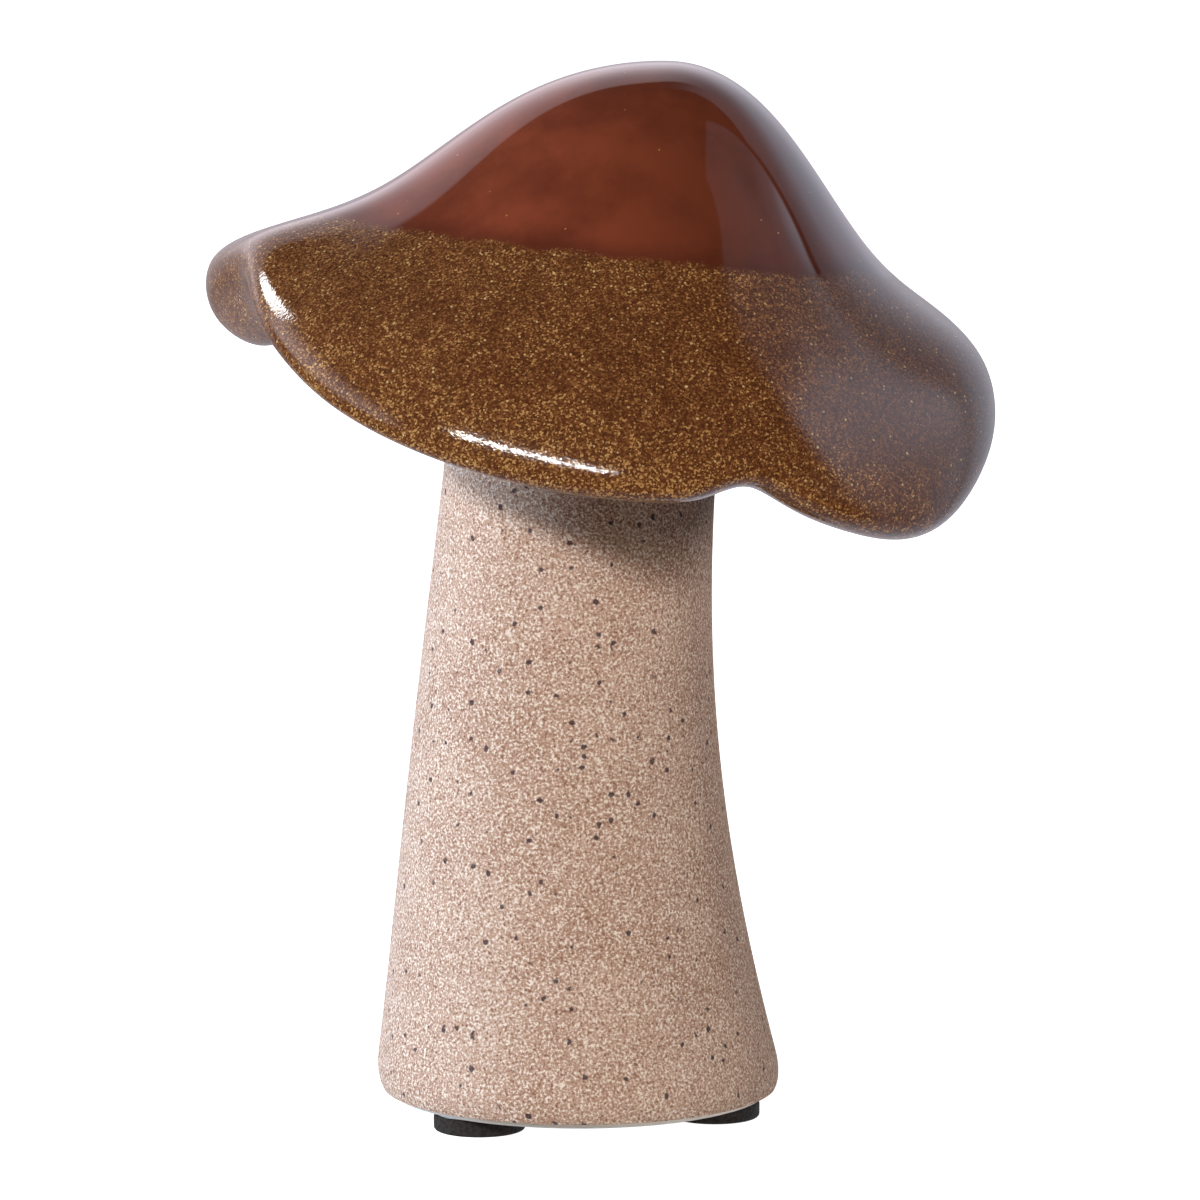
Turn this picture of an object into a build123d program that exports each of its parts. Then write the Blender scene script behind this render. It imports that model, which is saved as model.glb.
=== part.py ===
from build123d import *
import math
import os

# Ceramic mushroom ornament: a glazed cap bonded onto a sand-coated stem with foam feet.
# Millimetres. The origin is on the table under the middle of the cap, X right, Y back, Z up.

# Foot pads
PAD_DIAMETER = 10.0
PAD_HEIGHT = 2.0
PAD_FILM = 0.15
PAD_FILM_INSET = 0.3
PAD_EDGE_ROUND = 0.4
PAD_EDGE_MARGIN = 0.1
PAD_ANGLES = {"front_left": -136, "right": -14, "back": 107}

# Stem
STEM_HEIGHT = 79.6
STEM_FOOT_X = -2.2
STEM_NECK_RADIUS = 14.7
STEM_FLARE = 8.05
STEM_NECK_SHIFT = 1.0
STEM_BOW = 2.1
FOOT_ROUND_HEIGHT = 4.5
FOOT_ROUND_DEPTH = 2.3
BARE_FOOT_BAND = 0.75
SAND_COAT = 0.5
STEM_WALL = 4.0
STEM_FLOOR = 5.0

# Joint between the stem and the cap
SPIGOT_RADIUS = 10.0
SPIGOT_WALL = 3.0
SPIGOT_LENGTH = 7.0
SPIGOT_TAPER_HEIGHT = 6.0
BOND = 0.4
BOND_INSET = 0.8
SOCKET_LEDGE = 1.5

# Cap: heights are counted from the seat on the stem
GLAZE = 0.5
CAP_WALL = 4.0
APEX_X = 7.2
APEX_RISE = 33.4
RIM_RADIUS = 42.0
RIM_RISE = 0.4
RIM_TILT = 8.1
RIM_HIGH_SIDE = 146
LIP_HALF_HEIGHT = 1.5
LIP_DEPTH = 4.0
COLLAR_HEIGHT = 4.0

# Waves of the rim: direction and width in degrees, then how far each moves the lip outward and upward
RIM_WAVES = {
    "right_lobe": (-10, 20, 2.0, 2.2),
    "right_droop": (-39, 14, 1.7, -4.9),
    "front_lip": (-101, 29, -1.0, -3.9),
    "front_left_lobe": (-155, 13, -2.0, 1.5),
    "left_crest": (-174, 10, -2.0, 4.5),
    "back_left_lobe": (156, 16, 4.8, -0.2),
    "back_hollow": (95, 22, -1.0, -2.0),
    "back_right_rise": (36, 25, -3.5, 4.5),
}

# Where the lip is thicker: direction and width in degrees, then what it adds to the half height
LIP_SWELLS = {
    "right_lobe": (-15, 24, 2.7),
    "left_lobe": (158, 14, 1.7),
}

# Folds of the lip's lower edge: direction and width in degrees, then how far each moves it outward and upward
HEM_FOLDS = {
    "front_right_dent": (-67, 5, -2.5, 2.2),
    "left_fold": (178, 9, -4.0, -6.0),
}

# Bell curve of the crown: share of the way out to the lip, share of the height above the lip,
# and what the fuller front right side, given by its direction and width in degrees, adds to that height
CROWN_CURVE = ((0.145, 1.0, 0.0), (0.37, 0.85, 0.06), (0.62, 0.40, 0.18), (0.87, 0.25, 0.05))
FULL_SIDE = (-60, 31)

# Dip line between the two glazes: height over the seat on the cap's middle, and its slopes
DIP_RISE = 13.8
DIP_SLOPE_X = -0.10
DIP_SLOPE_Y = -0.045

# How finely the free forms are laid out
RING_POINTS = 60
CAP_RINGS = 26
HOLLOW_RINGS = 16
STEM_RINGS = 12
FOOT_RINGS = 5

# Levels
FOOT_Z = PAD_HEIGHT
SHOULDER_Z = FOOT_Z + STEM_HEIGHT
SEAT_Z = SHOULDER_Z + BOND
APEX = Vector(APEX_X, 0, SEAT_Z + APEX_RISE)
NECK_X = STEM_FOOT_X + STEM_NECK_SHIFT
SOCKET_RADIUS = SPIGOT_RADIUS + BOND
SOCKET_TOP = SEAT_Z + SPIGOT_LENGTH
ANGLES = [360 * i / RING_POINTS for i in range(RING_POINTS)]


def swell(angle, middle, width):
    """Smooth bump that is 1 in the middle direction and fades to 0 over its width, in degrees."""
    return math.exp((math.cos(math.radians(angle - middle)) - 1) / math.radians(width) ** 2)


def curve_point(control, share):
    """Point at a share of the way along the clamped cubic B-spline of the control points."""
    spans = len(control) - 3
    place = share * spans
    first = min(int(place), spans - 1)
    points = control[first:first + 4]
    for level in range(1, 4):
        for j in range(3, level - 1, -1):
            low = max(first + j - 3, 0)
            high = min(first + j + 1 - level, spans)
            blend = (place - low) / (high - low)
            points[j] = points[j - 1] * (1 - blend) + points[j] * blend
    return points[3]


def lip_point(angle, waviness=1.0):
    """Lip in a direction from the cap's middle, with a share of its waves."""
    radius = RIM_RADIUS
    height = SEAT_Z + RIM_RISE + RIM_TILT * math.cos(math.radians(angle - RIM_HIGH_SIDE))
    for middle, width, out, rise in RIM_WAVES.values():
        radius += out * waviness * swell(angle, middle, width)
        height += rise * waviness * swell(angle, middle, width)
    turn = math.radians(angle)
    return Vector(radius * math.cos(turn), radius * math.sin(turn), height)


def neck_point(angle, radius, z):
    turn = math.radians(angle)
    return Vector(NECK_X + radius * math.cos(turn), radius * math.sin(turn), z)


def crown_points(angle, reach=1.0):
    """Control points of the crown in one direction, drawn in to a share of their reach.

    The waves fade towards the apex."""
    full = swell(angle, *FULL_SIDE)
    points = [APEX]
    for out, up, more in CROWN_CURVE:
        lip = lip_point(angle, (out * reach) ** 2)
        way = lip - APEX
        points.append(APEX + Vector(way.X * out * reach, way.Y * out * reach, way.Z * (1 - up - more * full)))
    return points


def underside_point(angle, share, lift):
    """Point on the straight way from the lip in to the collar, lifted by a height."""
    lip = lip_point(angle)
    neck = neck_point(angle, STEM_NECK_RADIUS, SEAT_Z + COLLAR_HEIGHT)
    return lip + (neck - lip) * share + Vector(0, 0, lift)


def cap_section(angle):
    """Control points of the cap's outside in one direction, from the apex round the lip to the collar."""
    lip = lip_point(angle)
    outward = Vector(lip.X - APEX.X, lip.Y - APEX.Y, 0).normalized()
    up = Vector(0, 0, 1)
    extra = sum(more * swell(angle, middle, width) for middle, width, more in LIP_SWELLS.values())
    half = LIP_HALF_HEIGHT + extra
    depth = LIP_DEPTH + 0.6 * extra
    fold = Vector(0, 0, 0)
    for middle, width, out, rise in HEM_FOLDS.values():
        fold += (outward * out + up * rise) * swell(angle, middle, width)
    edge = [lip + up * half, lip - up * half + fold, lip - outward * depth - up * half + fold]
    under = [lip - outward * 1.8 * depth - up * 0.2 * half + fold * 0.5, underside_point(angle, 0.7, 0)]
    collar = [neck_point(angle, STEM_NECK_RADIUS, SEAT_Z + h) for h in (COLLAR_HEIGHT, 0)]
    return crown_points(angle) + edge + under + collar


def hollow_section(angle):
    """Control points of the cap's hollow, one wall inside the crown and the underside."""
    down = Vector(0, 0, -CAP_WALL - GLAZE)
    crown = [point + down for point in crown_points(angle, 0.9)[:4]]
    floor = [underside_point(angle, share, CAP_WALL + GLAZE) for share in (0.45, 0.75)]
    return crown + floor + [neck_point(angle, SOCKET_RADIUS + SOCKET_LEDGE, SOCKET_TOP)]


def cap_point(angle, share, depth):
    """Point of the cap's outside moved straight in through its surface by a depth."""
    section = cap_section(angle)
    along = curve_point(section, share + 0.001) - curve_point(section, share - 0.001)
    around = curve_point(cap_section(angle + 0.1), share) - curve_point(cap_section(angle - 0.1), share)
    return curve_point(section, share) + around.cross(along).normalized() * depth


def ring(points):
    return Wire([Edge.make_spline(points, periodic=True)])


def cap_form(depth):
    """Solid inside the cap's outside surface, taken in by a depth."""
    shares = [0.5 / CAP_RINGS] + [i / CAP_RINGS for i in range(1, CAP_RINGS)]
    rings = [ring([cap_point(angle, share, depth) for angle in ANGLES]) for share in shares]
    seat = ring([neck_point(angle, STEM_NECK_RADIUS - depth, SEAT_Z) for angle in ANGLES])
    return Solid.make_loft([Vertex(*(APEX - Vector(0, 0, depth))), *rings, seat], ruled=True)


def hollow_form():
    """Solid that fills the cap's hollow, down to the top of its socket."""
    shares = [(i + 1) / HOLLOW_RINGS for i in range(HOLLOW_RINGS)]
    sections = [hollow_section(angle) for angle in ANGLES]
    rings = [ring([curve_point(section, share) for section in sections]) for share in shares]
    return Solid.make_loft([Vertex(*sections[0][0]), *rings], ruled=True)


def upright(x, radius, low, high):
    """Upright round bar between two levels."""
    return Pos(x, 0, low) * Cylinder(radius, high - low, align=(Align.CENTER, Align.CENTER, Align.MIN))


def stem_radius(height):
    """Radius of the finished stem at a height over its foot: a flare that eases off, rounded at the foot."""
    flare = STEM_FLARE * (1 - height / STEM_HEIGHT) ** 2
    corner = max(1 - height / FOOT_ROUND_HEIGHT, 0)
    return STEM_NECK_RADIUS + flare - FOOT_ROUND_DEPTH * (1 - math.sqrt(1 - corner ** 2))


def stem_middle(height):
    """Sideways place of the stem's middle at a height over its foot: a slight bow to the left."""
    share = height / STEM_HEIGHT
    return STEM_FOOT_X + STEM_NECK_SHIFT * share - STEM_BOW * math.sin(math.pi * share)


def stem_form(depth, heights):
    """Solid inside the stem's outside surface, taken in by a depth, through rings at the given heights."""
    rings = []
    for height in heights:
        place = Plane((stem_middle(height), 0, FOOT_Z + height))
        rings.append(Wire.make_circle(stem_radius(height) - depth, place))
    return Solid.make_loft(rings, ruled=True)


def spread(low, high, count):
    """Even steps from low to high, both included."""
    return [low + (high - low) * i / count for i in range(count + 1)]


def make_cap():
    body_form = cap_form(GLAZE)
    glaze = cap_form(0) - body_form
    normal = (-DIP_SLOPE_X, -DIP_SLOPE_Y, 1)
    dip_plane = Plane((0, 0, SEAT_Z + DIP_RISE), z_dir=normal)
    crown_glaze = split(glaze, bisect_by=dip_plane, keep=Keep.TOP)
    rim_glaze = split(glaze, bisect_by=dip_plane, keep=Keep.BOTTOM)
    socket = upright(NECK_X, SOCKET_RADIUS, SEAT_Z - 1, SOCKET_TOP + 1)
    body = body_form - hollow_form() - socket
    return body, crown_glaze, rim_glaze


def make_stem():
    corner = [FOOT_ROUND_HEIGHT * (1 - math.cos(turn)) for turn in spread(0, math.pi / 2, FOOT_RINGS)]
    heights = corner + spread(FOOT_ROUND_HEIGHT, STEM_HEIGHT, STEM_RINGS)[1:]
    core = stem_form(SAND_COAT, heights)
    bare_band = upright(STEM_FOOT_X, 2 * stem_radius(0), FOOT_Z - 1, FOOT_Z + BARE_FOOT_BAND)
    coat = stem_form(0, heights) - bare_band - core
    throat = SPIGOT_RADIUS - SPIGOT_WALL
    taper_z = SHOULDER_Z - SPIGOT_TAPER_HEIGHT
    inner_top = taper_z - FOOT_Z
    hollow = stem_form(SAND_COAT + STEM_WALL, spread(STEM_FLOOR, inner_top, STEM_RINGS // 2))
    inner_radius = stem_radius(inner_top) - SAND_COAT - STEM_WALL
    wide = Wire.make_circle(inner_radius, Plane((stem_middle(inner_top), 0, taper_z)))
    narrow = Wire.make_circle(throat, Plane((NECK_X, 0, SHOULDER_Z)))
    taper = Solid.make_loft([wide, narrow], ruled=True)
    body = core + upright(NECK_X, SPIGOT_RADIUS, SHOULDER_Z, SOCKET_TOP)
    body = body - hollow - taper - upright(NECK_X, throat, SHOULDER_Z, SOCKET_TOP)
    return body, coat


def make_joint_adhesive():
    """Bond ring with an angle section: flat between shoulder and seat, upright round the spigot."""
    flat = upright(NECK_X, STEM_NECK_RADIUS - GLAZE - BOND_INSET, SHOULDER_Z, SEAT_Z)
    sleeve = upright(NECK_X, SOCKET_RADIUS, SHOULDER_Z, SOCKET_TOP - BOND_INSET)
    return flat + sleeve - upright(NECK_X, SPIGOT_RADIUS, SHOULDER_Z - 1, SOCKET_TOP)


def make_pad(angle):
    """Foam pad and its adhesive film, on the flat of the foot close to its edge."""
    film_radius = PAD_DIAMETER / 2 - PAD_FILM_INSET
    reach = stem_radius(0) - SAND_COAT - PAD_EDGE_MARGIN - film_radius
    turn = math.radians(angle)
    spot = Pos(STEM_FOOT_X + reach * math.cos(turn), reach * math.sin(turn), 0)
    foam_top = PAD_HEIGHT - PAD_FILM
    foam = Cylinder(PAD_DIAMETER / 2, foam_top, align=(Align.CENTER, Align.CENTER, Align.MIN))
    foam = fillet(foam.edges().filter_by(GeomType.CIRCLE), PAD_EDGE_ROUND)
    return spot * foam, spot * upright(0, film_radius, foam_top, PAD_HEIGHT)


nodes = {}
nodes["cap_body"], nodes["crown_glaze"], nodes["rim_glaze"] = make_cap()
nodes["stem_body"], nodes["stem_sand_coat"] = make_stem()
nodes["joint_adhesive"] = make_joint_adhesive()
for name, angle in PAD_ANGLES.items():
    nodes["foot_pad_" + name], nodes["pad_adhesive_" + name] = make_pad(angle)

os.makedirs("parts", exist_ok=True)
for name, shape in nodes.items():
    export_step(shape, f"parts/{name}.step")
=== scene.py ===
import math

import bpy
import numpy as np
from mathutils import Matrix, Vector


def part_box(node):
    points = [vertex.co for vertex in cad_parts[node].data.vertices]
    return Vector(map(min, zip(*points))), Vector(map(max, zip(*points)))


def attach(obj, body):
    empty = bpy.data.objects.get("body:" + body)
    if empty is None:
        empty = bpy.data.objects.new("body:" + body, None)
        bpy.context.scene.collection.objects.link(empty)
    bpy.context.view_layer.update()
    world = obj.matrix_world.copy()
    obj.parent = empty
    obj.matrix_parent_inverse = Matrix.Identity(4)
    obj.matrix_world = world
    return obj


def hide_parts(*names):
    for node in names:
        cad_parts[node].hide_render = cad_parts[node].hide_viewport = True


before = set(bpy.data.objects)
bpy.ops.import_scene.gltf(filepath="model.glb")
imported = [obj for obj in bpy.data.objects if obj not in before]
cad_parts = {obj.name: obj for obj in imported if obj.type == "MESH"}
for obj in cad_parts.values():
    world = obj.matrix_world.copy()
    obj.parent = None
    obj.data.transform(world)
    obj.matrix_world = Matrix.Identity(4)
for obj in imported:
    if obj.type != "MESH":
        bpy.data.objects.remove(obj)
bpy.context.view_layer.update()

# Metres. The origin is on the table under the middle of the cap, X right, Y back, Z up.
# Levels come from the solids of the frame.
foot_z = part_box("stem_body")[0][2]
shoulder_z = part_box("stem_sand_coat")[1][2]
coat_low_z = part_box("stem_sand_coat")[0][2]
apex_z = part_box("crown_glaze")[1][2]

# Stem
STEM_FOOT_X = -0.0022
STEM_NECK_RADIUS = 0.0147
STEM_FLARE = 0.00805
STEM_NECK_SHIFT = 0.0010
STEM_BOW = 0.0021
FOOT_ROUND_HEIGHT = 0.0045
FOOT_ROUND_DEPTH = 0.0023
SAND_COAT = 0.0005

# Cap, bonded onto the stem
BOND = 0.0004
GLAZE = 0.0005
APEX_X = 0.0072
RIM_RADIUS = 0.0420
RIM_RISE = 0.0004
RIM_TILT = 0.0081
RIM_HIGH_SIDE = 146
LIP_HALF_HEIGHT = 0.0015
LIP_DEPTH = 0.0040
COLLAR_HEIGHT = 0.0040
DIP_RISE = 0.0138
DIP_NORMAL = Vector((0.10, 0.045, 1.0)).normalized()

# Waves of the rim: direction and width in degrees, then how far each moves the lip outward and upward
RIM_WAVES = {
    "right_lobe": (-10, 20, 0.0020, 0.0022),
    "right_droop": (-39, 14, 0.0017, -0.0049),
    "front_lip": (-101, 29, -0.0010, -0.0039),
    "front_left_lobe": (-155, 13, -0.0020, 0.0015),
    "left_crest": (-174, 10, -0.0020, 0.0045),
    "back_left_lobe": (156, 16, 0.0048, -0.0002),
    "back_hollow": (95, 22, -0.0010, -0.0020),
    "back_right_rise": (36, 25, -0.0035, 0.0045),
}

# Where the lip is thicker: direction and width in degrees, then what it adds to the half height.
# A share of that also deepens the lip.
LIP_SWELLS = {
    "right_lobe": (-15, 24, 0.0027),
    "left_lobe": (158, 14, 0.0017),
}
SWELL_DEPTH_SHARE = 0.6

# Folds of the lip's lower edge: direction and width in degrees, then how far each moves it
# outward and upward
HEM_FOLDS = {
    "front_right_dent": (-67, 5, -0.0025, 0.0022),
    "left_fold": (178, 9, -0.0040, -0.0060),
}

# Bell curve of the crown: share of the way out to the lip, share of the height above the lip,
# and what the fuller front right side, given by its direction and width in degrees, adds to that height
CROWN_CURVE = ((0.145, 1.0, 0.0), (0.37, 0.85, 0.06), (0.62, 0.40, 0.18), (0.87, 0.25, 0.05))
FULL_SIDE = (-60, 31)

# Where the underside turns in behind the lip, in shares of the lip's depth, half height and fold,
# and the share of the way from the lip to the collar that it then passes
TURN_IN_DEPTH = 1.8
TURN_IN_DROP = 0.2
TURN_IN_FOLD = 0.5
UNDERSIDE_WAY = 0.7

# Foot pads
PAD_EDGE_ROUND = 0.0004
PADS = ("front_left", "right", "back")

# How finely the surfaces are laid out, and the angle in degrees from which an edge shows as sharp
CAP_DIRECTIONS = 360
CROWN_STEPS = 70
RIM_STEPS = 130
STEM_DIRECTIONS = 240
STEM_STEPS = 200
PAD_DIRECTIONS = 96
PAD_EDGE_STEPS = 8
PAD_FLAT_STEPS = 10
SHARP_EDGE = 50

# The dip line is looked for in this first share of the way down the cap, by this many halvings
DIP_SEARCH = 0.55
DIP_HALVINGS = 30

# Camera
CAMERA_TARGET = Vector((0, 0, 0.0566))
CAMERA_DISTANCE = 0.850
CAMERA_ELEVATION = 8.1
CAMERA_LENS = 233.7
SENSOR_WIDTH = 36
SIGHT_END = 50

# Light: azimuths count from the back towards the right, in degrees, and brightness is radiance.
# Softboxes: azimuth, elevation, distance, width, height, radiance, and for a turned one
# how far it is turned about its middle
MAIN_LAMP = (-149, 24.5, 1.5, 0.14, 0.14, 270.0)
COOL = (0.82, 1.02, 1.28)
WARM = (1.0, 0.94, 0.88)
FILLS = {
    "left_fill": ((-82, 10, 1.5, 1.2, 0.5, 14.5), COOL),
    "right_fill": ((122, 10, 1.5, 0.6, 0.4, 12.0), WARM),
    "back_fill": ((35, 35, 1.5, 1.0, 1.0, 1.4), WARM),
    "floor_fill": ((180, -62, 1.5, 1.2, 1.2, 1.6), WARM),
}
SHEEN_PANELS = {
    "front_strip": (-165, 32, 1.5, 0.96, 0.036, 72.0, -19.5),
    "left_panel": (-57, 34, 1.5, 0.15, 0.23, 18.0),
}

# Flat white cards that the glaze mirrors: the azimuth of the nearest point, of the left and
# of the right end, how soft these two ends are, then the brightness at rising elevations
STUDIO_CARDS = {
    "left_card": (-90, -122, -58, 8, 3, (
        (14, 0.0), (21, 1.5), (30, 1.6), (36, 0.8), (41, 0.0))),
    "backdrop_left": (0, -54, 12, 5, 18, (
        (-24, 0.5), (-12, 0.28), (5, 0.55), (14, 1.4), (24, 1.35),
        (30, 1.05), (38, 0.74), (47.5, 0.6), (48.5, 0.0))),
    "backdrop_right": (0, 12, 56, 18, 1, (
        (-24, 0.9), (-10, 0.65), (5, 0.8), (20, 0.87), (28, 0.8),
        (36, 0.5), (42, 0.35), (56.5, 0.3), (57.5, 0.0))),
    "side_card_back": (90, 59, 80, 1, 6, (
        (-12, 0.8), (20, 1.0), (30, 1.5), (35, 1.55),
        (39, 0.5), (45, 0.24), (67, 0.24), (68, 0.0))),
    "side_card_front": (90, 80, 113, 6, 1, (
        (-12, 0.5), (20, 0.8), (27, 1.25), (32, 1.5), (38, 1.5),
        (43, 0.6), (47, 0.35), (67, 0.24), (68, 0.0))),
}
CARD_PEAK = 1.6

# Tints of the surroundings and the azimuths between which the first turns into the second
BACKDROP_TINT = (1.08, 1.0, 1.1, 1.0)
CARD_TINT = (0.86, 1.0, 1.22, 1.0)
TINT_CHANGE = (-10, 50)

# Brightness of the dark room and of the mirrored floor, and how far below the horizon, as the sine
# of the angle, that floor starts and is full; the glow and the reach of the floor in the picture
DARK_ROOM = 0.03
FLOOR_BOUNCE = 0.38
FLOOR_DEPTHS = (-0.26, -0.7)
FLOOR_GLOW = 1.0
FLOOR_RADIUS = 6.0
FLOOR_SIDES = 64
FLOOR_MOTTLE = 0.5

neck_x = STEM_FOOT_X + STEM_NECK_SHIFT
stem_height = shoulder_z - foot_z
seat_z = shoulder_z + BOND
apex = np.array((APEX_X, 0.0, apex_z))


def swell(turn, middle, width):
    """Smooth bump over directions: e to the power of (cosine off its middle - 1) / width squared."""
    return np.exp((np.cos(turn - math.radians(middle)) - 1) / math.radians(width) ** 2)


def placed(x, y, z):
    """Points from three coordinates of any matching shapes."""
    return np.stack(np.broadcast_arrays(x, y, z), axis=-1)


def full_turn(directions):
    """Even directions all the way round."""
    return np.linspace(0, 2 * np.pi, directions, endpoint=False)


def spline_weights(count, share):
    """Weights of a clamped cubic B-spline's control points at each share, raised degree by degree.

    The end of the curve is kept just inside its last span."""
    spans = count - 3
    knots = np.concatenate((np.zeros(3), np.arange(spans + 1), np.full(3, spans)))
    place = np.clip(share * spans, 0, spans - 1e-9)[..., None]
    weights = ((knots[:-1] <= place) & (place < knots[1:])).astype(float)
    for degree in (1, 2, 3):
        span = knots[degree:] - knots[:-degree]
        ramp = (place - knots[:-degree]) / np.where(span > 0, span, 1)
        rising = np.where(span > 0, ramp, 0)[..., :-1]
        falling = np.where(span > 0, 1 - ramp, 0)[..., 1:]
        weights = rising * weights[..., :-1] + falling * weights[..., 1:]
    return weights


def lip_points(turn, waviness=1.0):
    """Lip round the cap: a tilted circle plus a share of the waves, each a bump outward and upward."""
    radius = RIM_RADIUS + 0 * turn
    height = seat_z + RIM_RISE + RIM_TILT * np.cos(turn - math.radians(RIM_HIGH_SIDE))
    for middle, width, out, rise in RIM_WAVES.values():
        radius = radius + out * waviness * swell(turn, middle, width)
        height = height + rise * waviness * swell(turn, middle, width)
    return placed(radius * np.cos(turn), radius * np.sin(turn), height)


def neck_points(turn, radius, z):
    """Circle round the joint's middle at one level."""
    return placed(neck_x + radius * np.cos(turn), radius * np.sin(turn), z)


def crown_points(turn):
    """Control points of the bell: shares of the way from the apex to a lip whose waves fade inward."""
    points = [np.broadcast_to(apex, (len(turn), 3))]
    for out, rise, more in CROWN_CURVE:
        way = lip_points(turn, out ** 2) - apex
        drop = 1 - rise - more * swell(turn, *FULL_SIDE)
        points.append(apex + way * placed(out, out, drop))
    return points


def cap_sections(turn):
    """Control points of the cap's outside in each direction: apex, bell, round lip, underside, collar."""
    lip = lip_points(turn)
    outward = (lip - apex) * (1, 1, 0)
    outward = outward / np.linalg.norm(outward, axis=-1, keepdims=True)
    extra = sum(more * swell(turn, middle, width) for middle, width, more in LIP_SWELLS.values())
    up = placed(0, 0, LIP_HALF_HEIGHT + extra)
    depth = outward * (LIP_DEPTH + SWELL_DEPTH_SHARE * extra)[:, None]
    fold = 0
    for middle, width, out, rise in HEM_FOLDS.values():
        fold = fold + (outward * out + (0, 0, rise)) * swell(turn, middle, width)[:, None]
    edge = [lip + up, lip - up + fold, lip - depth - up + fold]
    collar = [neck_points(turn, STEM_NECK_RADIUS, seat_z + height) for height in (COLLAR_HEIGHT, 0)]
    turn_in = lip - TURN_IN_DEPTH * depth - TURN_IN_DROP * up + TURN_IN_FOLD * fold
    under = [turn_in, lip + (collar[0] - lip) * UNDERSIDE_WAY]
    return np.stack(crown_points(turn) + edge + under + collar, axis=1)


def cap_skin(turn, share):
    """Cap's outside at each direction and share of the way from the apex to the collar."""
    sections = cap_sections(turn)
    return np.einsum("tsk,tkc->tsc", spline_weights(sections.shape[1], share), sections)


def cap_inside(turn, share, depth):
    """Cap's outside moved straight in along its normal, the cross product of its two slopes."""
    step = 1e-4
    spot = np.maximum(share, 10 * step)
    along = cap_skin(turn, spot + step) - cap_skin(turn, spot - step)
    around = cap_skin(turn + step, spot) - cap_skin(turn - step, spot)
    inward = np.cross(around, along)
    return cap_skin(turn, share) + depth * inward / np.linalg.norm(inward, axis=-1, keepdims=True)


def over_dip(points):
    """Distance above the tilted dip plane between the two glazes."""
    return (points - np.array((0, 0, seat_z + DIP_RISE))) @ np.array(DIP_NORMAL)


def dip_shares(turn):
    """Share of the way down at which each direction crosses the dip plane, by halving the range."""
    low = np.zeros((len(turn), 1))
    high = np.full((len(turn), 1), DIP_SEARCH)
    for halving in range(DIP_HALVINGS):
        middle = (low + high) / 2
        above = over_dip(cap_skin(turn, middle)) > 0
        low = np.where(above, middle, low)
        high = np.where(above, high, middle)
    return low


def stem_skin(turn, height, depth):
    """Stem: circles on a bowed middle line, flaring to the foot as a square and rounded off there."""
    share = height / stem_height
    corner = np.maximum(1 - height / FOOT_ROUND_HEIGHT, 0)
    radius = STEM_NECK_RADIUS + STEM_FLARE * (1 - share) ** 2 - depth
    radius = radius - FOOT_ROUND_DEPTH * (1 - np.sqrt(1 - corner ** 2))
    middle = STEM_FOOT_X + STEM_NECK_SHIFT * share - STEM_BOW * np.sin(np.pi * share)
    return placed(middle + radius * np.cos(turn), radius * np.sin(turn), foot_z + height)


def make_piece(name, points, material, nodes, ring):
    """Closed mesh from a grid of directions by steps.

    The steps close on themselves in a ring, or end in two poles."""
    turns, steps = points.shape[:2]
    corner = np.arange(turns * steps).reshape(turns, steps)
    if ring:
        corner = np.concatenate((corner, corner[:, :1]), axis=1)
    else:
        corner[:, 0] = corner[0, 0]
        corner[:, -1] = corner[0, -1]
    used = np.unique(corner)
    renumber = np.zeros(turns * steps, dtype=int)
    renumber[used] = np.arange(len(used))
    corner = renumber[corner]
    after = np.roll(corner, -1, axis=0)
    quads = np.stack((corner[:, :-1], corner[:, 1:], after[:, 1:], after[:, :-1]), axis=-1)
    if ring:
        faces = quads.reshape(-1, 4).tolist()
    else:
        ends = quads[:, 0, :3].tolist() + quads[:, -1, [0, 1, 3]].tolist()
        faces = ends + quads[:, 1:-1].reshape(-1, 4).tolist()
    mesh = bpy.data.meshes.new(name)
    mesh.from_pydata(points.reshape(-1, 3)[used], [], faces)
    mesh.shade_smooth()
    mesh.set_sharp_from_angle(angle=math.radians(SHARP_EDGE))
    mesh.materials.append(material)
    piece = bpy.data.objects.new(name, mesh)
    bpy.context.scene.collection.objects.link(piece)
    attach(piece, "root")
    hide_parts(*nodes)


class Value:
    """A shader socket; using it in an expression adds Math nodes."""

    def __init__(self, finish, socket):
        self.finish = finish
        self.socket = socket

    def maths(self, operation, first, second):
        return self.finish.node("ShaderNodeMath", {"operation": operation}, {0: first, 1: second})

    def __add__(self, other):
        return self.maths("ADD", self, other)

    __radd__ = __add__

    def __mul__(self, other):
        return self.maths("MULTIPLY", self, other)

    __rmul__ = __mul__

    def __sub__(self, other):
        return self.maths("SUBTRACT", self, other)

    def __rsub__(self, other):
        return self.maths("SUBTRACT", other, self)

    def __truediv__(self, other):
        return self.maths("DIVIDE", self, other)

    def __rtruediv__(self, other):
        return self.maths("DIVIDE", other, self)


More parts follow.
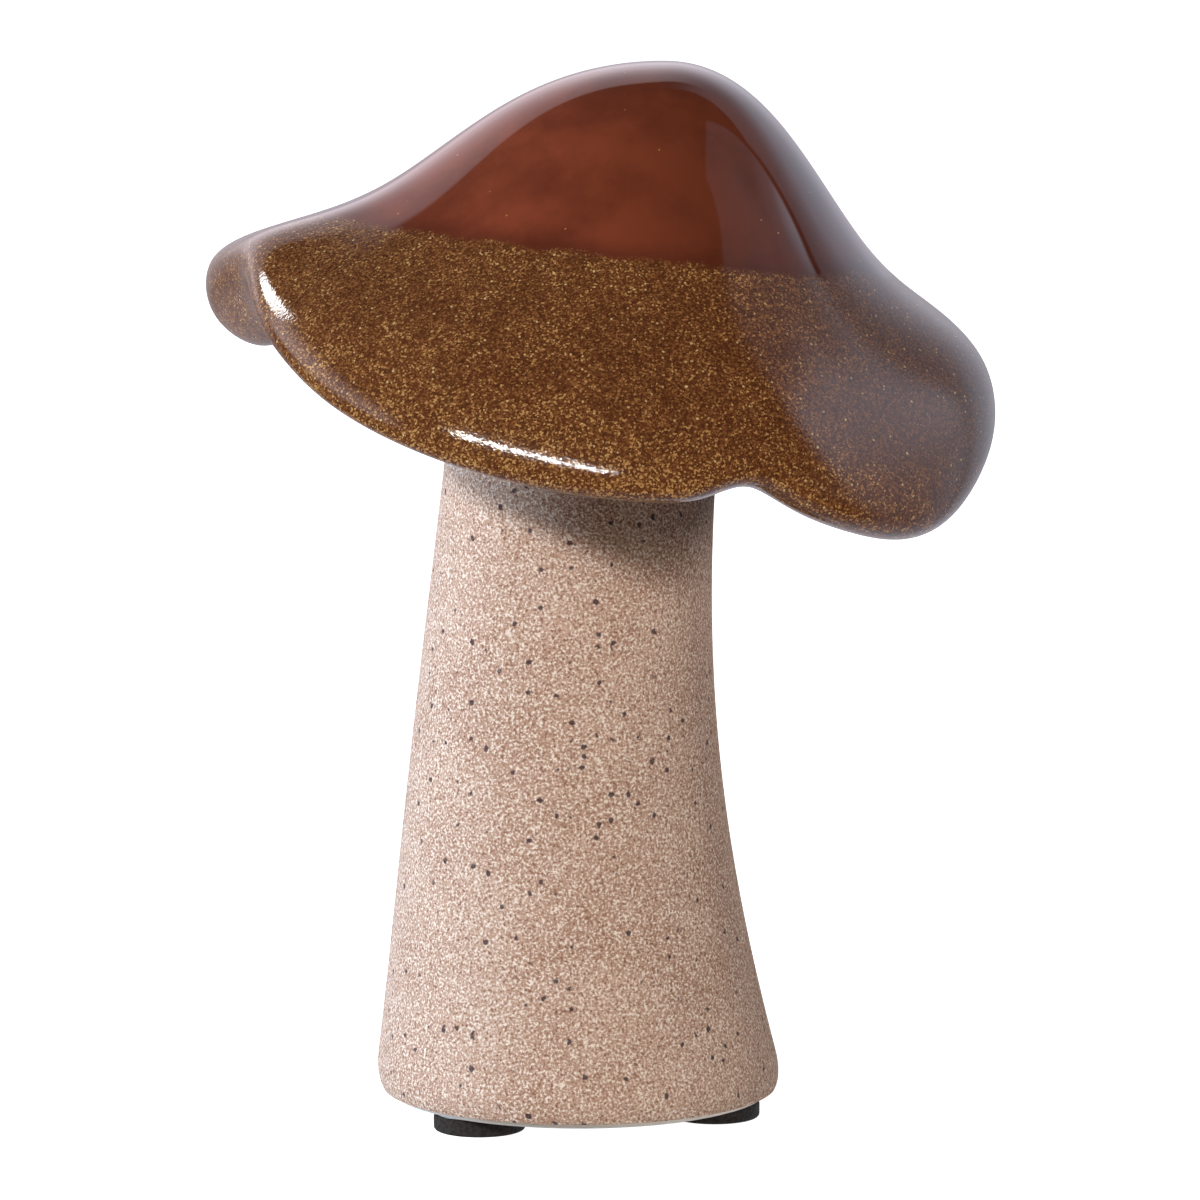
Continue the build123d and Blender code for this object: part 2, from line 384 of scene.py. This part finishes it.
class Finish:
    """Nodes of a material or of the studio's surroundings."""

    def __init__(self, owner, shader, coordinates):
        owner.use_nodes = True
        self.owner = owner
        self.tree = owner.node_tree
        self.surface = self.tree.nodes[shader]
        self.place = self.node("ShaderNodeTexCoord", output=coordinates)

    def node(self, kind, settings=None, sockets=None, output=0):
        """Any node: its type, its settings, the values or links of its sockets, and the output to read."""
        made = self.tree.nodes.new(kind)
        for key, value in (settings or {}).items():
            if key == "stops":
                self.set_stops(made.color_ramp, value)
            else:
                setattr(made, key, value)
        self.fill(made, sockets or {})
        return Value(self, made.outputs[output])

    def fill(self, made, sockets):
        for key, value in sockets.items():
            if isinstance(value, Value):
                self.tree.links.new(value.socket, made.inputs[key])
            else:
                made.inputs[key].default_value = value

    def set_stops(self, ramp, stops):
        while len(ramp.elements) < len(stops):
            ramp.elements.new(1.0)
        for element, (position, colour) in zip(ramp.elements, stops):
            element.position = position
            element.color = colour

    def noise(self, size, detail=2.0, roughness=0.5):
        """Soft noise whose lumps are about one size across."""
        sockets = {"Vector": self.place, "Scale": 1 / size, "Detail": detail, "Roughness": roughness}
        return self.node("ShaderNodeTexNoise", None, sockets)

    def waver(self, size, height):
        """Noise of one size that swings about zero within a height."""
        return (self.noise(size) - 0.5) * height

    def grains(self, size):
        """Grains about one size apart: the distance to the nearest one's middle, and its random share."""
        sockets = {"Vector": self.place, "Scale": 1 / size}
        distance = self.node("ShaderNodeTexVoronoi", None, sockets, "Distance")
        colour = Value(self, distance.socket.node.outputs["Color"])
        return distance, self.node("ShaderNodeSeparateColor", None, {0: colour})

    def between(self, value, low, high):
        """Eased step from 0 at low to 1 at high; low may be the larger of the two."""
        sockets = {"Value": value, "From Min": low, "From Max": high}
        return self.node("ShaderNodeMapRange", {"interpolation_type": "SMOOTHSTEP"}, sockets)

    def mix(self, factor, first, second):
        """One colour turning into another as the factor goes from 0 to 1."""
        sockets = {"Factor": factor, 6: first, 7: second}
        return self.node("ShaderNodeMix", {"data_type": "RGBA"}, sockets, 2)

    def bump(self, height, distance, strength=1.0):
        """Normal of a surface whose fine relief is a height times a distance."""
        sockets = {"Height": height, "Distance": distance, "Strength": strength}
        return self.node("ShaderNodeBump", None, sockets)

    def wear(self, **sockets):
        """Sets the surface's sockets; underscores in the names stand for spaces."""
        self.fill(self.surface, {key.replace("_", " "): value for key, value in sockets.items()})
        return self.owner


def surface_finish(name):
    """A new material on Object coordinates, in metres."""
    return Finish(bpy.data.materials.new(name), "Principled BSDF", "Object")


def srgb(red, green, blue):
    """Linear colour of an 8-bit screen colour."""
    share = np.array((red, green, blue)) / 255
    linear = np.where(share <= 0.04045, share / 12.92, ((share + 0.055) / 1.055) ** 2.4)
    return (*linear.tolist(), 1.0)


# Range of a noise over which a tone drifts into the next
DRIFT_RANGE = (0.3, 0.7)

# Crown glaze: clouds of two reds, darker to the right and along the seam above the dip line,
# and rare gold glints
RUST_DARK = srgb(98, 44, 27)
RUST_PALE = srgb(122, 57, 36)
CLOUD_SIZE = 0.014
CLOUD_RANGE = (0.38, 0.64)
SHADE_TONE = srgb(72, 34, 15)
SHADE_SIDE = (-0.006, 0.017)
SHADE_STRENGTH = 0.52
SEAM_TONE = srgb(62, 28, 16)
SEAM_HEIGHT = 0.0022
SEAM_STRENGTH = 0.45
GLINT_TONE = srgb(205, 150, 80)
GLINT_SPACING = 0.0009
GLINT_EDGE = (0.16, 0.10)
GLINT_RARITY = (0.95, 0.97)
GLINT_STRENGTH = 0.7

# Brim glaze: shares and tones of the flecks from the dark ground to bright gold, what moves those shares,
# and larger frayed sparks
FLECK_TONES = (
    (0.00, srgb(68, 35, 17)),
    (0.60, srgb(100, 58, 30)),
    (0.90, srgb(136, 89, 49)),
    (1.00, srgb(182, 136, 82)),
)
FLECK_SPACING = 0.00018
FLECK_DRIFT_SIZE = 0.004
FLECK_DRIFT = 0.35
# Lighter and more golden towards the lip: partly the glaze's own tone, partly painted bounce light from the
# floor below
GOLD_AND_BOUNCE_LEVELS = (-0.012, -0.030)
GOLD_AND_BOUNCE_GAIN = 0.24
FAR_SIDE = (0.014, 0.034)
FAR_LOSS = 0.16
SPARK_TONE = srgb(236, 200, 136)
SPARK_SPACING = 0.0006
SPARK_FRAY_SIZE = 0.0003
SPARK_FRAY = 0.5
SPARK_EDGE = (0.26, 0.14)
SPARK_RARITY = (0.76, 0.95)
SPARK_STRENGTH = 0.65

# Dip line between the glazes: its slow waver, its ragged edge and the distances over which it fades
DIP_WAVER_SIZE = 0.012
DIP_WAVER = 0.0028
DIP_RAGGED_SIZE = 0.0008
DIP_RAGGED = 0.0008
DIP_FADE = (0.0004, -0.0005)

# Gloss of both glazes: roughness, what the flecked glaze adds, also on its far side, and its fine ripple
GLAZE_ROUGHNESS = 0.05
FLECK_ROUGHNESS = 0.03
FAR_ROUGHNESS = 0.14
RIPPLE_SIZE = 0.00034
RIPPLE_HEIGHT = 0.000024
RIPPLE_STRENGTH = 0.5
GLAZE_IOR = 1.52


def crown_colour(finish, side, above):
    """Cloudy rust red, from the place to the right and the height above the dip line."""
    cloud = finish.noise(CLOUD_SIZE, detail=6.0, roughness=0.62)
    colour = finish.mix(finish.between(cloud, *CLOUD_RANGE), RUST_DARK, RUST_PALE)
    colour = finish.mix(finish.between(side, *SHADE_SIDE) * SHADE_STRENGTH, colour, SHADE_TONE)
    seam = finish.between(above, SEAM_HEIGHT, 0.0)
    colour = finish.mix(seam * SEAM_STRENGTH, colour, SEAM_TONE)
    apart, lot = finish.grains(GLINT_SPACING)
    glint = finish.between(apart, *GLINT_EDGE) * finish.between(lot, *GLINT_RARITY)
    return finish.mix(glint * GLINT_STRENGTH, colour, GLINT_TONE)


def fleck_colour(finish, level, far):
    """Fine grains from brown to gold, lighter and more golden low down, partly as painted bounce light from
    the floor, and less on the far side, with larger sparks.
    """
    lot = finish.grains(FLECK_SPACING)[1]
    # Painted bounce light: the flecks turn lighter and more golden low down towards the lip
    lower = finish.between(level, *GOLD_AND_BOUNCE_LEVELS)
    gold = lot + finish.waver(FLECK_DRIFT_SIZE, FLECK_DRIFT) + lower * GOLD_AND_BOUNCE_GAIN - far * FAR_LOSS
    colour = finish.node("ShaderNodeValToRGB", {"stops": FLECK_TONES}, {0: gold})
    apart, lot = finish.grains(SPARK_SPACING)
    frayed = apart + finish.waver(SPARK_FRAY_SIZE, SPARK_FRAY)
    spark = finish.between(frayed, *SPARK_EDGE) * finish.between(lot, *SPARK_RARITY)
    return finish.mix(spark * SPARK_STRENGTH, colour, SPARK_TONE)


def glaze_finish(name):
    """Rust-red crown glaze that turns into flecked brown glaze below the soft, wavering dip line."""
    finish = surface_finish(name)
    origin = Vector((0, 0, seat_z + DIP_RISE))
    offset = finish.node("ShaderNodeVectorMath", {"operation": "SUBTRACT"}, {0: finish.place, 1: origin})
    along_normal = {0: offset, 1: DIP_NORMAL}
    level = finish.node("ShaderNodeVectorMath", {"operation": "DOT_PRODUCT"}, along_normal, "Value")
    edge = finish.waver(DIP_WAVER_SIZE, DIP_WAVER) + finish.waver(DIP_RAGGED_SIZE, DIP_RAGGED)
    above = level - edge
    below = finish.between(above, *DIP_FADE)
    side = finish.node("ShaderNodeSeparateXYZ", None, {0: finish.place}, "X")
    far = finish.between(side, *FAR_SIDE)
    colour = finish.mix(below, crown_colour(finish, side, above), fleck_colour(finish, level, far))
    roughness = GLAZE_ROUGHNESS + below * (FLECK_ROUGHNESS + far * FAR_ROUGHNESS)
    ripple = finish.noise(RIPPLE_SIZE, detail=1.0) * below
    normal = finish.bump(ripple, RIPPLE_HEIGHT, RIPPLE_STRENGTH)
    return finish.wear(Base_Color=colour, Roughness=roughness, IOR=GLAZE_IOR, Normal=normal)


# Sand coat: a tan that drifts, pale and brown grains, and sparse frayed dark specks
TAN_DARK = srgb(192, 153, 130)
TAN_PALE = srgb(206, 170, 148)
TAN_DRIFT_SIZE = 0.010
GRAIN_SIZE = 0.00028
GRAIN_RELIEF = 0.00035
PALE_GRAIN = srgb(250, 235, 220)
PALE_GRAIN_RANGE = (0.50, 0.64)
BROWN_GRAIN = srgb(146, 104, 82)
BROWN_GRAIN_RANGE = (0.45, 0.33)
SPECK_TONE = srgb(66, 48, 52)
SPECK_SPACING = 0.0015
SPECK_FRAY_SIZE = 0.0005
SPECK_FRAY = 0.5
SPECK_EDGE = (0.24, 0.14)
SPECK_RARITY = (0.70, 0.72)
SPECK_STRENGTH = 0.9


def sand_finish(name):
    """Sandy coat: fine pale and brown grains, sparse dark specks and a slow drift of tone."""
    finish = surface_finish(name)
    grain = finish.noise(GRAIN_SIZE, roughness=0.65)
    drift = finish.noise(TAN_DRIFT_SIZE)
    colour = finish.mix(finish.between(drift, *DRIFT_RANGE), TAN_DARK, TAN_PALE)
    colour = finish.mix(finish.between(grain, *PALE_GRAIN_RANGE), colour, PALE_GRAIN)
    colour = finish.mix(finish.between(grain, *BROWN_GRAIN_RANGE), colour, BROWN_GRAIN)
    apart, lot = finish.grains(SPECK_SPACING)
    frayed = apart + finish.waver(SPECK_FRAY_SIZE, SPECK_FRAY)
    speck = finish.between(frayed, *SPECK_EDGE) * finish.between(lot, *SPECK_RARITY)
    colour = finish.mix(speck * SPECK_STRENGTH, colour, SPECK_TONE)
    normal = finish.bump(grain, GRAIN_RELIEF)
    return finish.wear(Base_Color=colour, Roughness=0.92, IOR=1.4, Normal=normal)


# Bare stoneware: a pale mottle and fine pores
CLAY_DARK = srgb(240, 232, 222)
CLAY_PALE = srgb(250, 245, 238)
CLAY_MOTTLE_SIZE = 0.003
CLAY_PORE_SIZE = 0.0004
CLAY_PORE_RELIEF = 0.00008
CLAY_PORE_STRENGTH = 0.4


def clay_finish(name):
    """Bare pale stoneware with a faint mottle and fine pores."""
    finish = surface_finish(name)
    mottle = finish.noise(CLAY_MOTTLE_SIZE, detail=3.0)
    colour = finish.mix(finish.between(mottle, *DRIFT_RANGE), CLAY_DARK, CLAY_PALE)
    normal = finish.bump(finish.noise(CLAY_PORE_SIZE), CLAY_PORE_RELIEF, CLAY_PORE_STRENGTH)
    return finish.wear(Base_Color=colour, Roughness=0.85, Normal=normal)


# Foam: near-black cells and a few paler specks of dust
FOAM_DARK = srgb(38, 34, 32)
FOAM_PALE = srgb(52, 47, 44)
FOAM_CELL_SIZE = 0.00045
FOAM_CELL_RANGE = (0.2, 0.7)
FOAM_CELL_RELIEF = 0.00015
FOAM_CELL_STRENGTH = 0.7
DUST_TONE = srgb(96, 90, 86)
DUST_SIZE = 0.0004
DUST_RANGE = (0.70, 0.74)
DUST_STRENGTH = 0.6


def foam_finish(name):
    """Black foam with open cells and a few paler specks of dust."""
    finish = surface_finish(name)
    cells = finish.grains(FOAM_CELL_SIZE)[0]
    colour = finish.mix(finish.between(cells, *FOAM_CELL_RANGE), FOAM_DARK, FOAM_PALE)
    dust = finish.between(finish.noise(DUST_SIZE), *DUST_RANGE)
    colour = finish.mix(dust * DUST_STRENGTH, colour, DUST_TONE)
    normal = finish.bump(cells, FOAM_CELL_RELIEF, FOAM_CELL_STRENGTH)
    return finish.wear(Base_Color=colour, Roughness=0.9, Normal=normal)


# Cured adhesives: dark and pale tone of the cloudy epoxy and of the pads' film
EPOXY_TONES = (srgb(206, 198, 168), srgb(226, 220, 198))
FILM_TONES = (srgb(222, 222, 216), srgb(240, 240, 236))
BOND_CLOUD_SIZE = 0.002


def bond_finish(name, dark, pale):
    """Cured adhesive with a cloudy tone and gloss."""
    finish = surface_finish(name)
    cloud = finish.noise(BOND_CLOUD_SIZE)
    colour = finish.mix(finish.between(cloud, *DRIFT_RANGE), dark, pale)
    return finish.wear(Base_Color=colour, Roughness=0.4 + cloud * 0.2)


def make_cap_glazes():
    """Each glaze: the cap's outside down one stretch, then back up the same stretch one glaze further in."""
    turn = full_turn(CAP_DIRECTIONS)
    dip = dip_shares(turn)
    crown_stretch = np.linspace(0, 1, CROWN_STEPS)[None, :] * dip
    rim_stretch = dip + np.linspace(0, 1, RIM_STEPS)[None, :] * (1 - dip)
    for name, down, ring in (("crown_glaze", crown_stretch, False), ("rim_glaze", rim_stretch, True)):
        coat = np.concatenate((cap_skin(turn, down), cap_inside(turn, down, GLAZE)[:, ::-1]), axis=1)
        make_piece(name + "_skin", coat, glaze_finish(name), [name], ring)


def make_sand_coat():
    """Sand coat: the stem's outside from the shoulder down, then back up one coat further in."""
    turn = full_turn(STEM_DIRECTIONS)[:, None]
    height = np.linspace(coat_low_z - foot_z, stem_height, STEM_STEPS)[None, ::-1]
    coat = np.concatenate((stem_skin(turn, height, 0), stem_skin(turn, height[:, ::-1], SAND_COAT)), axis=1)
    make_piece("sand_coat_skin", coat, sand_finish("sand_coat"), ["stem_sand_coat"], ring=True)


def make_pads():
    """Pads: a flat disc's profile with rounded corners, carried round the middle from top to bottom."""
    turn = full_turn(PAD_DIRECTIONS)[:, None]
    bend = np.linspace(0, np.pi / 2, PAD_EDGE_STEPS)
    foam = foam_finish("foam")
    for name in PADS:
        low, high = (Vector(corner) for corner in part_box("foot_pad_" + name))
        middle = (low + high) / 2
        radius = (high.x - low.x) / 2
        inner = np.linspace(0, radius - PAD_EDGE_ROUND, PAD_FLAT_STEPS)[:-1]
        rounded = radius - PAD_EDGE_ROUND + PAD_EDGE_ROUND * np.sin(bend)
        drop = PAD_EDGE_ROUND * (1 - np.cos(bend))
        top = np.concatenate((high.z + 0 * inner, high.z - drop))
        bottom = np.concatenate((low.z + drop[::-1], low.z + 0 * inner))
        level = np.concatenate((top, bottom))[None, :]
        reach = np.concatenate((inner, rounded, rounded[::-1], inner[::-1]))[None, :]
        pad = placed(middle.x + reach * np.cos(turn), middle.y + reach * np.sin(turn), level)
        make_piece("foam_pad_" + name, pad, foam, ["foot_pad_" + name], ring=False)


def dress_solids():
    """Finishes for the solids that keep their own shape."""
    clay = clay_finish("bare_stoneware")
    epoxy = bond_finish("joint_adhesive", *EPOXY_TONES)
    film = bond_finish("pad_film", *FILM_TONES)
    finishes = {"cap_body": clay, "stem_body": clay, "joint_adhesive": epoxy}
    for name in PADS:
        finishes["pad_adhesive_" + name] = film
    for name, material in finishes.items():
        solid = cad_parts[name].data
        solid.materials.clear()
        solid.materials.append(material)


def aim(thing, place, target):
    """Puts a lamp or the camera at a place and turns it to face a target."""
    thing.location = place
    thing.rotation_euler = (target - place).to_track_quat("-Z", "Y").to_euler()


def sphere_place(azimuth, elevation, distance):
    """Place seen from the object: degrees round from the back towards the right, and over the horizon."""
    turn = math.radians(azimuth)
    rise = math.radians(elevation)
    flat = distance * math.cos(rise)
    return Vector((flat * math.sin(turn), flat * math.cos(turn), distance * math.sin(rise)))


def make_panel(name, azimuth, elevation, distance, width, height, radiance, roll=0):
    """Soft box that faces the ornament; its power follows from how bright its face should look."""
    light = bpy.data.lights.new(name, "AREA")
    light.shape = "RECTANGLE"
    light.size = width
    light.size_y = height
    light.energy = radiance * math.pi * width * height
    panel = bpy.data.objects.new(name, light)
    bpy.context.scene.collection.objects.link(panel)
    aim(panel, sphere_place(azimuth, elevation, distance) + CAMERA_TARGET, CAMERA_TARGET)
    panel.rotation_euler.rotate_axis("Z", math.radians(roll))
    panel.visible_camera = False
    return panel


def make_surroundings():
    """What the glaze mirrors: white cards at the left, behind and at the right, and a dark room elsewhere.

    A card's brightness follows the angle at which a line of sight meets its upright plane."""
    world = bpy.data.worlds.new("studio")
    studio = Finish(world, "Background", "Generated")
    split = {key: studio.node("ShaderNodeSeparateXYZ", None, {0: studio.place}, key) for key in "XYZ"}
    turn = studio.node("ShaderNodeMath", {"operation": "ARCTAN2"}, {0: split["X"], 1: split["Y"]})
    azimuth = turn * (180 / math.pi)
    light = studio.between(split["Z"], *FLOOR_DEPTHS) * FLOOR_BOUNCE + DARK_ROOM
    for nearest, left, right, left_soft, right_soft, levels in STUDIO_CARDS.values():
        toward = split["X"] * math.sin(math.radians(nearest)) + split["Y"] * math.cos(math.radians(nearest))
        height = studio.node("ShaderNodeMath", {"operation": "ARCTAN2"}, {0: split["Z"], 1: toward})
        stops = [((level + 90) / 180, (share / CARD_PEAK,) * 3 + (1.0,)) for level, share in levels]
        glow = studio.node("ShaderNodeValToRGB", {"stops": stops}, {0: height / math.pi + 0.5}) * CARD_PEAK
        across = studio.between(azimuth, left - left_soft, left + left_soft)
        across = across * studio.between(azimuth, right + right_soft, right - right_soft)
        light = light + across * glow
    tint = studio.mix(studio.between(azimuth, *TINT_CHANGE), BACKDROP_TINT, CARD_TINT)
    studio.wear(Color=tint, Strength=light)
    bpy.context.scene.world = world
    world.cycles_visibility.diffuse = False


def make_floor():
    """Plain white floor that shows to the camera alone."""
    bpy.ops.mesh.primitive_circle_add(vertices=FLOOR_SIDES, radius=FLOOR_RADIUS, fill_type="NGON")
    floor = bpy.context.object
    floor.name = "studio_floor"
    white = surface_finish("studio_floor")
    paint = white.mix(white.noise(FLOOR_MOTTLE), srgb(200, 200, 200), srgb(206, 206, 206))
    floor.data.materials.append(white.wear(
        Base_Color=paint, Roughness=0.9, Emission_Color=(1, 1, 1, 1), Emission_Strength=FLOOR_GLOW))
    floor.visible_diffuse = False
    floor.visible_glossy = False
    floor.visible_shadow = False


def make_lights():
    """The lamp and the fills light the ornament unseen; the sheen panels only show mirrored in the glaze."""
    make_panel("main_lamp", *MAIN_LAMP).visible_glossy = False
    for name, (place, colour) in FILLS.items():
        fill = make_panel(name, *place)
        fill.data.color = colour
        fill.visible_glossy = False
    for name, panel in SHEEN_PANELS.items():
        make_panel(name, *panel).visible_diffuse = False


def make_camera():
    """Camera in front of the ornament, a little above it."""
    lens = bpy.data.cameras.new("photo_camera")
    lens.lens = CAMERA_LENS
    lens.sensor_width = SENSOR_WIDTH
    lens.clip_end = SIGHT_END
    camera = bpy.data.objects.new("photo_camera", lens)
    bpy.context.scene.collection.objects.link(camera)
    aim(camera, CAMERA_TARGET + sphere_place(180, CAMERA_ELEVATION, CAMERA_DISTANCE), CAMERA_TARGET)
    bpy.context.scene.camera = camera


make_camera()
make_floor()
make_lights()
make_surroundings()
bpy.context.scene.view_settings.view_transform = "Standard"
make_cap_glazes()
make_sand_coat()
make_pads()
dress_solids()
